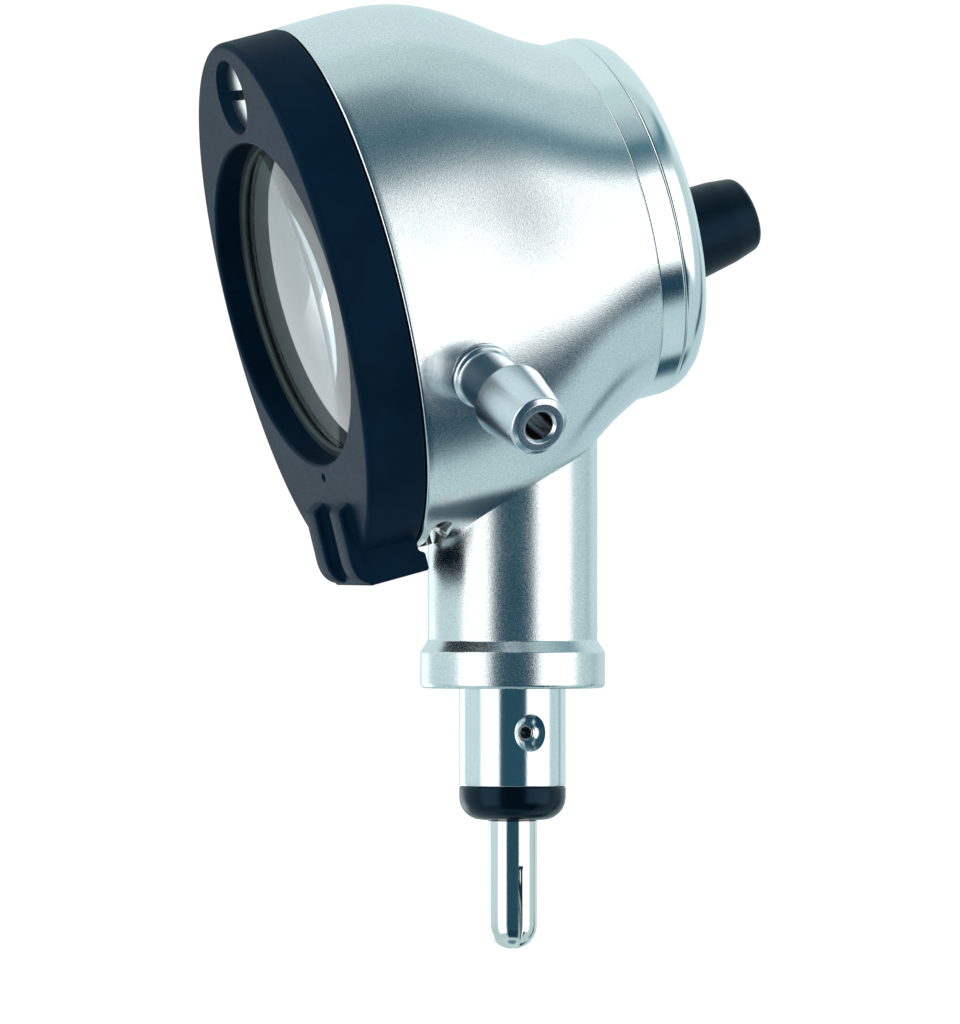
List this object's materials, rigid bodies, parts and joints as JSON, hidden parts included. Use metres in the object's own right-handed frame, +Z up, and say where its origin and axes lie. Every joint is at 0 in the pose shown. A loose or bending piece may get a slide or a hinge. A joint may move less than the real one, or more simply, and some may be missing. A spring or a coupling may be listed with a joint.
{
  "type": "otoscope head",
  "caption": "Diagnostic otoscope head with swivelling magnifier window, tilted metal housing, speculum nose, insufflation port, neck and plug-in contact.",
  "frame": {"origin": "centre of the neck flange's lower face, where the head seats on its handle", "axes": "+Z up the neck, -Z the way the plug goes into the handle; +X towards the speculum nose; the insufflation port is on the -Y side"},
  "size_m": [0.0466, 0.0393, 0.077],
  "materials": {
    "satin_chrome": "fine pearl satin chrome",
    "bright_chrome": "polished chrome",
    "nickel": "bright nickel plating",
    "black_moulding": "fine spark-eroded moulding texture",
    "black_insulator": "smooth black moulding",
    "grey_ring": "grey retaining ring",
    "steel": "bright zinc-plated steel",
    "spring_metal": "phosphor bronze strip",
    "brass": "turned brass",
    "lens_glass": "clear polished lens",
    "bulb_glass": "clear blown glass",
    "tungsten": "drawn wire",
    "fibre": "vulcanised fibre",
    "rubber_seal": "soft black seal",
    "red_sleeve": "insulated lead"
  },
  "bodies": {
    "head": {"neck_sleeve": "bright_chrome", "plug_barrel": "bright_chrome", "insulator_tip": "black_insulator", "insulator_sleeve": "black_insulator", "insulator_washer": "fibre", "contact_pin": "nickel", "solder_tag": "brass", "pin_nut": "brass", "housing": "satin_chrome", "detent_spring": "spring_metal", "front_ring": "bright_chrome", "cap_gasket": "rubber_seal", "front_cap": "bright_chrome", "nose_cone": "black_moulding", "insufflation_port": "bright_chrome", "pivot_screw": "steel", "spring_washer": "steel", "pivot_insert": "brass", "lamp_holder": "brass", "lamp_socket": "brass", "lamp_base": "nickel", "lamp_insulator": "black_insulator", "lamp_contact": "tungsten", "lamp_glass": "bulb_glass", "lamp_filament": "tungsten", "contact_leaf": "spring_metal", "leaf_insulator": "fibre", "lead_wire": "red_sleeve"},
    "lens_carrier": {"lens_frame": "black_moulding", "lens_retainer": "grey_ring", "magnifier_lens": "lens_glass", "lens_seal": "rubber_seal"}
  },
  "joints": [
    {"name": "lens_swivel", "type": "hinge", "parent": "head", "child": "lens_carrier", "pos_m": [-0.02135, 0, 0.04865], "axis": [0.9681, 0, 0.2504], "range_deg": [-90, 90]}
  ]
}
